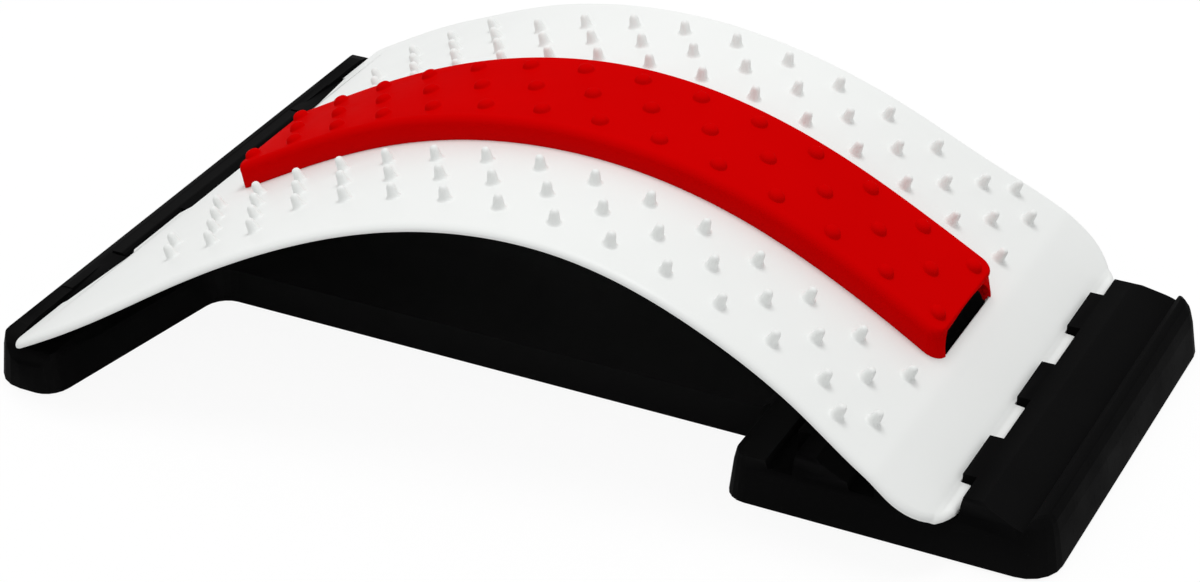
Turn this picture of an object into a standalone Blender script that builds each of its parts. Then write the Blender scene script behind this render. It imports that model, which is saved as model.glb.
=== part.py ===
"""Back stretcher: a black base, a white pinned arch board that swings up from it and a red spine strip.

The long way of the object runs along X, from the hinge end at -X to the three rows of teeth at +X.
Sizes below are in millimetres, and each mesh is turned into metres as it becomes an object.
"""
import math

import bmesh
import bpy
import numpy as np
from mathutils import Matrix

MM = 0.001
SHARP_ANGLE = 35.0
COLLECTION = "back_stretcher"

# Reach of a cutter past what it cuts, overlap of bodies that are joined, and a distance beyond the whole object
CUTTER_REACH = 4.0
OVERLAP = 0.6
BEYOND = 200.0

# Row frame: the base's outline is measured from its middle, and the pads lift it off the floor
BASE_LIFT = 1.0

# Arch of the board's top face: tangent in degrees along its arc length, 0 at the middle pin row
ARCH_TANGENTS = ((-160, 28.7), (-110, 28.3), (-60, 19.1), (-10, 4.8), (40, -12.3), (90, -26.1), (140, -31.6))
ARCH_MIDDLE_X = -8.0
ARCH_MIDDLE_Z = 82.6 + BASE_LIFT
BOARD_LEFT = -179.6
CREASE = 150.0
TAIL_TANGENT = -39.4
FLANGE_START = 173.4
FLANGE_TANGENT = -6.0
BOARD_RIGHT = 178.0
BOARD_THICK = 2.4

# Levels of the board's edge: height, and how far it is set in there, at the sides and at both ends
BOARD_FOOT = (-BOARD_THICK, 0.35, 0.35, 0.35)
BOARD_SHOULDERS = ((-2.05, 0.0, 0.0, 0.0), (-1.4, 0.0, 0.0, 0.0))
BOARD_TOP = (0.0, 1.7, 1.7, 1.7)

# Half width of the board along its arc, before the corners are rounded
BOARD_WIDTHS = (
    (-182, 121.9), (-160, 122.2), (-134, 117.5), (-112, 109.0), (-80, 99.5), (-40, 90.0),
    (0, 83.8), (32, 81.2), (82, 81.5), (118, 83.8), (144, 88.0), (160, 89.0), (180, 89.0),
)
LEFT_CORNER = 6.0
RIGHT_CORNER = 20.0

# Pins stand on a staggered lattice, in lines along the arch on both sides of the strip
PIN_STEP = 10.0
PIN_LINE_GAP = 14.0
FIRST_PIN_LINE = 39.7
PIN_MIDDLE_INDEX = 16
PIN_LINES = ((2, 30), (3, 29), (2, 30), (3, 7))
ODD_PIN = (29, 76.5)
PIN_PROFILE = ((0.0, -0.7), (2.6, -0.7), (2.15, 1.9), (1.25, 4.2), (0.0, 5.0))
PIN_SIDES = 8

# Spine strip: a hollow channel bent over the board, with leaning ends and wide round edges
STRIP_LEFT = -142.5
STRIP_RIGHT = 146.0
STRIP_GAP = 0.3
STRIP_HEIGHT = 8.6
STRIP_WIDTHS = ((-143, 24.6), (-70, 24.9), (0, 25.7), (70, 24.9), (125, 24.8), (146, 25.4))
STRIP_CORNER = 8.5
STRIP_WALL = 2.2
STRIP_MOUTH_HALF = 19.8
STRIP_MOUTH_HEIGHT = 6.9
STRIP_MOUTH_DEPTH = 8.0

# Levels of the strip and of its hollow: height, and how far the sides, the left and the right end lean in
STRIP_FOOT = (STRIP_GAP, 0.0, 0.0, 0.0)
STRIP_SHOULDER = (5.4, 0.3, 1.6, 3.2)
STRIP_TOP = (STRIP_HEIGHT, 5.3, 3.0, 4.7)
STRIP_HOLLOW = ((-OVERLAP, 0.0, 0.0, 0.0), (4.2, 0.3, 1.6, 3.2), (6.4, 3.3, 1.6, 3.2))

# Three lines of low domes on the strip
DOME_PITCH = 20.9
DOME_FIRST_SIDE = -136.0
DOME_FIRST_MIDDLE = -125.5
DOME_LINE = 15.8
DOME_SIDE_COUNT = 14
DOME_PROFILE = ((0.0, -0.5), (2.7, -0.5), (2.35, 0.7), (1.4, 1.45), (0.0, 1.75))
DOME_SIDES = 10

# Snap legs of the strip, through slots in the board
LEG_STATIONS = (-110.0, -40.0, 40.0, 110.0)
LEG_HALF_WIDTH = 7.0
LEG_BACK = -1.5
LEG_FRONT = 1.2
LEG_BARB_FRONT = 3.4
LEG_BARB_HEIGHT = 2.0
SLOT_HALF_LENGTH = 2.2
SLOT_CLEARANCE = 0.4

# Slot through the board below the strip's right mouth, which shows as the dark gap there
MOUTH_SLOT = (138.2, 145.6)
MOUTH_SLOT_CORNERS = (1.0, 6.0)

# Base outline at the floor: x, y and corner radius of the half at -Y, from the hinge end
BASE_HALF_OUTLINE = (
    (-185.1, -121.5, 14.0), (-157.1, -121.5, 9.0), (-141.2, -42.5, 9.0),
    (73.9, -42.5, 2.0), (73.9, -76.7, 8.0), (185.1, -76.7, 11.5),
)
# Height of each level of the base's outer wall, and how far the wall leans in there
WALL_LEVELS = ((0.0, 0.0), (12.0, 1.7), (16.5, 2.8), (19.2, 4.5), (20.7, 6.9))
CORNER_STEPS = 5
LEAST_RADIUS = 0.8
BEND_SPACE = 0.12

# Hollow underside of the base and its ribs, of which the long ones are lower than the cross ones
SHELL_THICK = 3.0
HOLLOW_DRAFT = 1.4
CAVITY_HEIGHT = 9.0
RIB_THICK = 2.4
RIB_SET_BACK = 1.0
RIB_STEP = 0.5
BRIDGE_RIBS = (-147.0, -113.0, -79.0, -45.0, -11.0, 23.0, 57.0)
BRIDGE_RIB_HALF = 40.5
PLATE_RIBS = (97.8, 125.8, 153.8)
PLATE_RIB_HALF = 74.6
SPINE_RIBS = (-24.0, 24.0)
SPINE_RIB_END = 183.0
HINGE_RIB_Y = 80.0
HINGE_RIB_END = -151.5

# Hinge end of the base: its wall, which sinks at both ends, the trough and the bar that the board swings about
HINGE_WALL_X = -173.5
HINGE_WALL_TOP = 18.9
HINGE_WALL_FOOT = ((-BEYOND, -BEYOND), (-BEYOND, 5.0), (-187.0, 5.0), (-183.3, 11.5), (-182.1, 13.6))
HINGE_WALL_TURNS = (165, 140, 115, 90)
HINGE_WALL_ROUND = 4.5
HINGE_WALL_ROUND_X = -176.7
HINGE_WALL_SIDE_TOP = 18.4
HINGE_WALL_STEP_Y = 84.0
HINGE_END_FALL = ((103.0, 18.4), (109.0, 18.0), (113.5, 16.8), (117.0, 14.5), (119.8, 10.0), (122.0, 5.0))
HINGE_SHELF = 14.3
HINGE_SHELF_END = -158.0
HINGE_BAR_RADIUS = 3.0
HINGE_BAR_HALF = 58.0
HINGE_BAR_STEP = 15
HINGE_BAR_ROOT = 1.5
MIDDLE_TOOTH_HALF = 22.4
SIDE_TOOTH = (59.5, 91.0)
TOOTH_REACH = -165.2
TOOTH_TOP = 19.6

# Cut in the board's hinge edge round the bar and the teeth, as x and half width
EDGE_CUT = ((-BEYOND, 93.0), (-172.6, 93.0), (-170.2, 91.5), (-164.4, 59.5), (-167.7, 55.0), (-167.7, 26.5),
            (-164.2, 23.3))
DECK = 12.0
DECK_START = -154.0
DECK_END = 72.0

# Adjusting end of the base: three ratchet rows of the same shape
ROW_PITCH = 28.0
ROW_COUNT = 3
LAST_ROW_X = 153.8
ROW_TOP = 20.2
ROW_FLAT = 6.5
ROW_LANDING = 14.0
ROW_TAIL = 16.4
ROW_START = 77.0
ROW_GROOVE = 9.5
ROW_GROOVE_SLOPE = 1.2
ROW_TEETH = ((-59.1, -35.7), (-11.5, 11.5), (35.7, 59.1))
ROW_TEETH_REACH = 4.7
ROW_TOOTH_STEP = 0.05
NOTCH_ENDS = (148.7, 161.8)
LIP_POINTS = ((174.7, 15.3), (176.2, 18.4), (178.0, 19.8), (180.6, 19.3), (182.6, 17.2), (BEYOND, 5.0))
NOTCH_CLEARANCE = 0.5

# Rubber pads in sockets under the base
PAD_PLACES = ((-170.6, 105.0), (88.0, 62.0), (170.0, 62.0))
PAD_RADIUS = 8.0
PAD_THICK = 2.6
PAD_SOCKET_DEPTH = 1.9
BOSS_RADIUS = 11.0
BOSS_SET_BACK = 0.2
PAD_CLEARANCE = 0.3
PAD_BEVEL = 0.5
DISC_SIDES = 24

BLACK = (0.012, 0.012, 0.013, 1.0)
WHITE = (0.84, 0.85, 0.86, 1.0)
RED = (0.62, 0.004, 0.006, 1.0)
RUBBER = (0.03, 0.03, 0.032, 1.0)


def clear_scene():
    """Remove what the file holds, so that the script can run again."""
    for item in list(bpy.data.objects):
        bpy.data.objects.remove(item, do_unlink=True)


def new_collection(name):
    """Make a collection in the scene."""
    group = bpy.data.collections.new(name)
    bpy.context.scene.collection.children.link(group)
    return group


def new_material(name, color, roughness):
    """Make a Principled material."""
    material = bpy.data.materials.new(name)
    material.use_nodes = True
    shader = material.node_tree.nodes["Principled BSDF"]
    shader.inputs["Base Color"].default_value = color
    shader.inputs["Roughness"].default_value = roughness
    shader.inputs["Metallic"].default_value = 0.0
    return material


def natural_spline(points):
    """Return a smooth function through the points, level with its end values outside them."""
    xs, ys = (np.array(column, float) for column in zip(*points))
    count = len(xs)
    step = np.diff(xs)
    matrix = np.eye(count)
    right = np.zeros(count)
    for k in range(1, count - 1):
        matrix[k, k - 1:k + 2] = step[k - 1], 2 * (step[k - 1] + step[k]), step[k]
        right[k] = 6 * ((ys[k + 1] - ys[k]) / step[k] - (ys[k] - ys[k - 1]) / step[k - 1])
    bend = np.linalg.solve(matrix, right)

    def value(x):
        x = np.clip(x, xs[0], xs[-1])
        k = np.clip(np.searchsorted(xs, x) - 1, 0, count - 2)
        a, b = xs[k + 1] - x, x - xs[k]
        curve = (bend[k] * a ** 3 + bend[k + 1] * b ** 3) / (6 * step[k])
        line = (ys[k] / step[k] - bend[k] * step[k] / 6) * a + (ys[k + 1] / step[k] - bend[k + 1] * step[k] / 6) * b
        return curve + line

    return value


class Arch:
    """The bent line of the board's top face, by arc length."""

    def __init__(self):
        self.s = np.arange(BOARD_LEFT - 8, BOARD_RIGHT + 8, 0.5)
        tangent = natural_spline(ARCH_TANGENTS)(self.s)
        tangent = np.where(self.s > CREASE, TAIL_TANGENT, tangent)
        tangent = np.where(self.s > FLANGE_START, FLANGE_TANGENT, tangent)
        self.angle = np.radians(tangent)
        self.x = self.along(np.cos(self.angle)) + ARCH_MIDDLE_X
        self.z = self.along(np.sin(self.angle)) + ARCH_MIDDLE_Z

    def along(self, rate):
        """Add a rate up along the arc, from the middle."""
        steps = (rate[1:] + rate[:-1]) / 2 * np.diff(self.s)
        total = np.concatenate([[0.0], np.cumsum(steps)])
        return total - np.interp(0.0, self.s, total)

    def frame(self, s):
        """Return x, z and the tangent angle at an arc length."""
        return (float(np.interp(s, self.s, column)) for column in (self.x, self.z, self.angle))

    def point(self, s, y, height):
        """Return the point at an arc length, a y and a height above the top face."""
        x, z, angle = self.frame(s)
        return (x - math.sin(angle) * height, y, z + math.cos(angle) * height)

    def flat_point(self, s, x, y, height):
        """Return the point above an x on the plane that touches the top face at an arc length."""
        x0, z0, angle = self.frame(s)
        return (x - math.sin(angle) * height, y, z0 + math.tan(angle) * (x - x0) + math.cos(angle) * height)

    def matrix(self, s, y):
        """Return the placement of a piece that stands on the top face."""
        x, z, angle = self.frame(s)
        return Matrix.Translation((x, y, z)) @ Matrix.Rotation(-angle, 4, "Y")


ARCH = Arch()
PIVOT = ARCH.point(BOARD_LEFT + BOARD_THICK / 2, 0.0, -BOARD_THICK / 2)


def add_object(name, builder, group, material=None, origin=(0.0, 0.0, 0.0)):
    """Make an object from a bmesh that is in millimetres, with its origin at a point."""
    bmesh.ops.recalc_face_normals(builder, faces=builder.faces[:])
    bmesh.ops.translate(builder, vec=[-value for value in origin], verts=builder.verts[:])
    bmesh.ops.scale(builder, vec=(MM, MM, MM), verts=builder.verts[:])
    mesh = bpy.data.meshes.new(name)
    builder.to_mesh(mesh)
    builder.free()
    mesh.shade_smooth()
    mesh.set_sharp_from_angle(angle=math.radians(SHARP_ANGLE))
    item = bpy.data.objects.new(name, mesh)
    item.location = [value * MM for value in origin]
    group.objects.link(item)
    if material:
        mesh.materials.append(material)
    else:
        item.hide_render = True
        item.display_type = "WIRE"
    return item


def loft(builder, loops):
    """Join loops of as many points each into a closed body."""
    rings = [[builder.verts.new(point) for point in loop] for loop in loops]
    for low, high in zip(rings, rings[1:]):
        for k in range(len(low)):
            nxt = (k + 1) % len(low)
            builder.faces.new((low[k], low[nxt], high[nxt], high[k]))
    builder.faces.new(rings[0])
    builder.faces.new(rings[-1])


def add_box(builder, low, high):
    """Add a box between two corners."""
    cube = bmesh.ops.create_cube(builder, size=1.0)["verts"]
    size = [b - a for a, b in zip(low, high)]
    bmesh.ops.scale(builder, vec=size, verts=cube)
    bmesh.ops.translate(builder, vec=[(a + b) / 2 for a, b in zip(low, high)], verts=cube)


def add_disc(builder, center, radius, low, high):
    """Add an upright cylinder between two heights."""
    made = bmesh.ops.create_cone(
        builder, cap_ends=True, segments=DISC_SIDES, radius1=radius, radius2=radius, depth=high - low)
    bmesh.ops.translate(builder, vec=(center[0], center[1], (low + high) / 2), verts=made["verts"])


def add_turned(builder, profile, sides, place, height):
    """Add a knob, spun from a profile of radius and height, at a place on the arch."""
    line = [builder.verts.new((radius, 0.0, rise + height)) for radius, rise in profile]
    edges = [builder.edges.new(pair) for pair in zip(line, line[1:])]
    before = set(builder.verts) - set(line)
    bmesh.ops.spin(builder, geom=line + edges, cent=(0, 0, 0), axis=(0, 0, 1), angle=2 * math.pi, steps=sides,
                   use_merge=True)
    knob = [vert for vert in builder.verts if vert not in before]
    bmesh.ops.transform(builder, matrix=ARCH.matrix(*place), verts=knob)
    bmesh.ops.remove_doubles(builder, verts=knob, dist=0.001)


class Plate:
    """A flat outline in arc length and y, symmetric about y = 0, that is bent along the arch."""

    def __init__(self, start, end, half_width, start_corner, end_corner, stations, bends=()):
        self.pairs = []
        self.add_corner(start, half_width, start_corner, -1, bends)
        for s in stations:
            if start + start_corner < s < end - end_corner:
                slope = (half_width(s + 1.0) - half_width(s - 1.0)) / 2
                length = math.hypot(1.0, slope)
                self.pairs.append((s, half_width(s), -slope / length, 1.0 / length))
        self.add_corner(end, half_width, end_corner, 1, bends)

    def add_corner(self, end, half_width, radius, way, bends):
        """Add a round corner, from the outline's left to its right, with a point at each bend of the plate."""
        center = end - way * radius
        reach = half_width(center) - radius
        turns = [math.pi / 2 * k / CORNER_STEPS for k in range(CORNER_STEPS + 1)]
        for bend in bends:
            if 0 < (bend - center) * way < radius:
                turn = math.acos((bend - center) * way / radius)
                turns = sorted([other for other in turns if abs(other - turn) > BEND_SPACE] + [turn])
        if way > 0:
            turns.reverse()
        for turn in turns:
            along, across = way * math.cos(turn), math.sin(turn)
            self.pairs.append((center + radius * along, reach + radius * across, along, across))

    def ring(self, height, inset, start_inset, end_inset):
        """Return the outline on the arch at a height, moved in at its sides and at its two ends."""
        side = [(s - along * (end_inset if along > 0 else start_inset), y - across * inset)
                for s, y, along, across in self.pairs]
        return ([ARCH.point(s, -y, height) for s, y in side], [ARCH.point(s, y, height) for s, y in side])

    def body(self, builder, levels):
        """Build the closed body through levels of height, side inset, start inset and end inset."""
        rings = []
        for level in levels:
            near, far = self.ring(*level)
            rings.append(([builder.verts.new(point) for point in near], [builder.verts.new(point) for point in far]))
        count = len(self.pairs)
        for (near, far), (near_up, far_up) in zip(rings, rings[1:]):
            for k in range(count - 1):
                builder.faces.new((near[k], near[k + 1], near_up[k + 1], near_up[k]))
                builder.faces.new((far[k + 1], far[k], far_up[k], far_up[k + 1]))
            builder.faces.new((far[0], near[0], near_up[0], far_up[0]))
            builder.faces.new((near[-1], far[-1], far_up[-1], near_up[-1]))
        for near, far in (rings[0], rings[-1]):
            for k in range(count - 1):
                builder.faces.new((near[k], near[k + 1], far[k + 1], far[k]))


def round_rim(low, high, steps=3):
    """Return the levels from a low one to a high one, along a quarter of an ellipse."""
    levels = []
    for step in range(steps + 1):
        turn = math.pi / 2 * step / steps
        shares = (math.sin(turn), 1 - math.cos(turn), 1 - math.cos(turn), 1 - math.cos(turn))
        levels.append([a + (b - a) * share for a, b, share in zip(low, high, shares)])
    return levels


def steps_from(first, step):
    """List the arc lengths on the board that lie whole steps from the first."""
    low = math.ceil((BOARD_LEFT - first) / step)
    high = math.floor((BOARD_RIGHT - first) / step)
    return [first + step * k for k in range(low, high + 1)]


def add_slab(builder, start, end, outline):
    """Add a short straight body on the arch between two arc lengths, from an outline of y and height."""
    loft(builder, [[ARCH.point(s, y, height) for y, height in outline] for s in (start, end)])


def apply_modifiers(item):
    """Keep an object's evaluated mesh, and shade its round faces smooth."""
    depsgraph = bpy.context.evaluated_depsgraph_get()
    mesh = bpy.data.meshes.new_from_object(item.evaluated_get(depsgraph))
    item.modifiers.clear()
    item.data = mesh
    mesh.shade_smooth()
    mesh.set_sharp_from_angle(angle=math.radians(SHARP_ANGLE))


def chamfer(item, width):
    """Chamfer an object's sharp edges."""
    modifier = item.modifiers.new("chamfer", "BEVEL")
    modifier.width = width * MM
    modifier.segments = 1
    modifier.limit_method = "ANGLE"
    modifier.angle_limit = math.radians(60)


def combine(item, tool, operation):
    """Add a boolean with a cutter."""
    modifier = item.modifiers.new(operation.lower(), "BOOLEAN")
    modifier.object = tool
    modifier.operation = operation
    modifier.solver = "EXACT"


def board_half_width(s):
    """Return the board's half width at an arc length."""
    return float(WIDTH_CURVE(s))


def strip_half_width(s):
    """Return the strip's half width at its foot."""
    return float(STRIP_WIDTH_CURVE(s))


WIDTH_CURVE = natural_spline(BOARD_WIDTHS)
STRIP_WIDTH_CURVE = natural_spline(STRIP_WIDTHS)


def hollow_half_width(s):
    """Return the half width of the strip's hollow at its foot."""
    return strip_half_width(s) - STRIP_WALL


def pin_places():
    """List the arc length and y of every pin."""
    places = []
    for line, (first, last) in enumerate(PIN_LINES):
        y = FIRST_PIN_LINE + PIN_LINE_GAP * line
        for index in range(first, last + 1, 2):
            s = (index - PIN_MIDDLE_INDEX) * PIN_STEP
            places += [(s, y), (s, -y)]
    index, y = ODD_PIN
    s = (index - PIN_MIDDLE_INDEX) * PIN_STEP
    return places + [(s, y), (s, -y)]


def dome_places():
    """List the arc length and y of every dome on the strip."""
    places = []
    for k in range(DOME_SIDE_COUNT):
        s = DOME_FIRST_SIDE + DOME_PITCH * k
        places += [(s, DOME_LINE), (s, -DOME_LINE)]
    for k in range(DOME_SIDE_COUNT - 1):
        places.append((DOME_FIRST_MIDDLE + DOME_PITCH * k, 0.0))
    return places


def make_board(parts, cutters, material):
    """Make the white arch board with its pins, edge notches and slots."""
    builder = bmesh.new()
    plate = Plate(BOARD_LEFT, BOARD_RIGHT, board_half_width, LEFT_CORNER, RIGHT_CORNER,
                  sorted(steps_from(PIN_STEP / 2, PIN_STEP) + [CREASE]), (FLANGE_START,))
    plate.body(builder, [BOARD_FOOT, BOARD_SHOULDERS[0]] + round_rim(BOARD_SHOULDERS[1], BOARD_TOP))
    board = add_object("arch_board", builder, parts, material, PIVOT)

    builder = bmesh.new()
    for place in pin_places():
        add_turned(builder, PIN_PROFILE, PIN_SIDES, place, 0.0)
    combine(board, add_object("pin_bodies", builder, cutters), "UNION")

    below, above = -BOARD_THICK - CUTTER_REACH, CUTTER_REACH
    builder = bmesh.new()
    outline = list(EDGE_CUT) + [(x, -y) for x, y in reversed(EDGE_CUT)]
    loft(builder, [[ARCH.flat_point(BOARD_LEFT, x, y, height) for x, y in outline] for height in (below, above)])
    combine(board, add_object("hinge_edge_cut", builder, cutters), "DIFFERENCE")

    builder = bmesh.new()
    for low, high in ROW_TEETH:
        add_box(builder, (NOTCH_ENDS[0], low - NOTCH_CLEARANCE, 0.0),
                (NOTCH_ENDS[1], high + NOTCH_CLEARANCE, ROW_TOP * 2))
    half = LEG_HALF_WIDTH + SLOT_CLEARANCE
    outline = [(-half, below), (half, below), (half, above), (-half, above)]
    for s in LEG_STATIONS:
        add_slab(builder, s - SLOT_HALF_LENGTH, s + SLOT_HALF_LENGTH, outline)
    mouth_slot = Plate(*MOUTH_SLOT, hollow_half_width, *MOUTH_SLOT_CORNERS, ())
    mouth_slot.body(builder, [(below, 0.0, 0.0, 0.0), (above, 0.0, 0.0, 0.0)])
    combine(board, add_object("notches_and_slots", builder, cutters), "DIFFERENCE")
    return board


def make_strip(parts, cutters, material):
    """Make the hollow red strip with its domes, open ends and snap legs."""
    builder = bmesh.new()
    between_domes = steps_from(DOME_FIRST_SIDE + DOME_PITCH / 4, DOME_PITCH / 2)
    plate = Plate(STRIP_LEFT, STRIP_RIGHT, strip_half_width, STRIP_CORNER, STRIP_CORNER, between_domes)
    plate.body(builder, [STRIP_FOOT] + round_rim(STRIP_SHOULDER, STRIP_TOP, steps=4))
    strip = add_object("spine_strip", builder, parts, material, PIVOT)

    builder = bmesh.new()
    for place in dome_places():
        add_turned(builder, DOME_PROFILE, DOME_SIDES, place, STRIP_HEIGHT)
    combine(strip, add_object("dome_bodies", builder, cutters), "UNION")

    builder = bmesh.new()
    inner = Plate(STRIP_LEFT + STRIP_WALL, STRIP_RIGHT - STRIP_WALL, hollow_half_width, STRIP_CORNER,
                  STRIP_CORNER, between_domes)
    inner.body(builder, STRIP_HOLLOW)
    combine(strip, add_object("strip_hollow", builder, cutters), "DIFFERENCE")

    builder = bmesh.new()
    turns = [math.pi * k / 8 for k in range(9)]
    outline = [(STRIP_MOUTH_HALF, -CUTTER_REACH)]
    outline += [(STRIP_MOUTH_HALF * math.cos(t), STRIP_MOUTH_HEIGHT * math.sin(t)) for t in turns]
    outline += [(-STRIP_MOUTH_HALF, -CUTTER_REACH)]
    add_slab(builder, STRIP_LEFT - CUTTER_REACH, STRIP_LEFT + STRIP_MOUTH_DEPTH, outline)
    add_slab(builder, STRIP_RIGHT - STRIP_MOUTH_DEPTH, STRIP_RIGHT + CUTTER_REACH, outline)
    combine(strip, add_object("strip_mouths", builder, cutters), "DIFFERENCE")

    builder = bmesh.new()
    foot = -BOARD_THICK - STRIP_GAP
    top = (STRIP_HEIGHT + STRIP_HOLLOW[-1][0]) / 2
    profile = [(LEG_BACK, top), (LEG_FRONT, top), (LEG_FRONT, foot), (LEG_BARB_FRONT, foot),
               (LEG_FRONT, foot - LEG_BARB_HEIGHT), (LEG_BACK, foot - LEG_BARB_HEIGHT)]
    for s in LEG_STATIONS:
        ends = (-LEG_HALF_WIDTH, LEG_HALF_WIDTH)
        loft(builder, [[ARCH.point(s + along, y, up) for along, up in profile] for y in ends])
    combine(strip, add_object("snap_legs", builder, cutters), "UNION")
    return strip


def full_outline():
    """Mirror the base's half outline into the whole one."""
    mirrored = [(x, -y, radius) for x, y, radius in reversed(BASE_HALF_OUTLINE)]
    return list(BASE_HALF_OUTLINE) + mirrored


def rounded_outline(inset, z):
    """Return the base's outline moved in by a distance, with round corners, at a height."""
    corners = full_outline()
    count = len(corners)
    points = [np.array(corner[:2], float) for corner in corners]
    edges = [points[(k + 1) % count] - points[k] for k in range(count)]
    units = [edge / np.linalg.norm(edge) for edge in edges]
    loop = []
    for k in range(count):
        before, after = units[k - 1], units[k]
        inward = [np.array((-unit[1], unit[0])) for unit in (before, after)]
        cross = before[0] * after[1] - before[1] * after[0]
        push = (inward[0] + inward[1]) / (1 + float(np.dot(inward[0], inward[1])))
        corner = points[k] + push * inset
        radius = corners[k][2] + (-inset if cross > 0 else inset)
        radius = max(radius, LEAST_RADIUS)
        turn = math.acos(max(-1.0, min(1.0, float(np.dot(before, after)))))
        reach = radius * math.tan(turn / 2)
        side = inward[0] if cross > 0 else -inward[0]
        center = corner - before * reach + side * radius
        start = corner - before * reach - center
        for step in range(CORNER_STEPS + 1):
            angle = turn * step / CORNER_STEPS * (1 if cross > 0 else -1)
            spun = (start[0] * math.cos(angle) - start[1] * math.sin(angle),
                    start[0] * math.sin(angle) + start[1] * math.cos(angle))
            loop.append((center[0] + spun[0], center[1] + spun[1], z + BASE_LIFT))
    return loop


def top_profile():
    """Return the base's top line from the hinge end to the lip, as x and height."""
    line = list(HINGE_WALL_FOOT)
    for turn in HINGE_WALL_TURNS:
        angle = math.radians(turn)
        line.append((HINGE_WALL_ROUND_X + HINGE_WALL_ROUND * math.cos(angle),
                     HINGE_WALL_TOP + HINGE_WALL_ROUND * (math.sin(angle) - 1)))
    line += [(HINGE_WALL_X, HINGE_WALL_TOP), (HINGE_WALL_X, HINGE_SHELF),
             (HINGE_SHELF_END, HINGE_SHELF), (DECK_START, DECK), (DECK_END, DECK), (ROW_START, ROW_TAIL)]
    for k in range(ROW_COUNT):
        wall = LAST_ROW_X - ROW_PITCH * (ROW_COUNT - 1 - k)
        tail = wall - ROW_GROOVE
        line += [(tail, ROW_TAIL), (tail + ROW_GROOVE_SLOPE, ROW_LANDING), (wall, ROW_LANDING), (wall, ROW_TOP),
                 (wall + ROW_FLAT, ROW_TOP)]
    line += list(LIP_POINTS)
    line.append((BEYOND, -BEYOND))
    return [(x, z + BASE_LIFT) for x, z in line]


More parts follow.
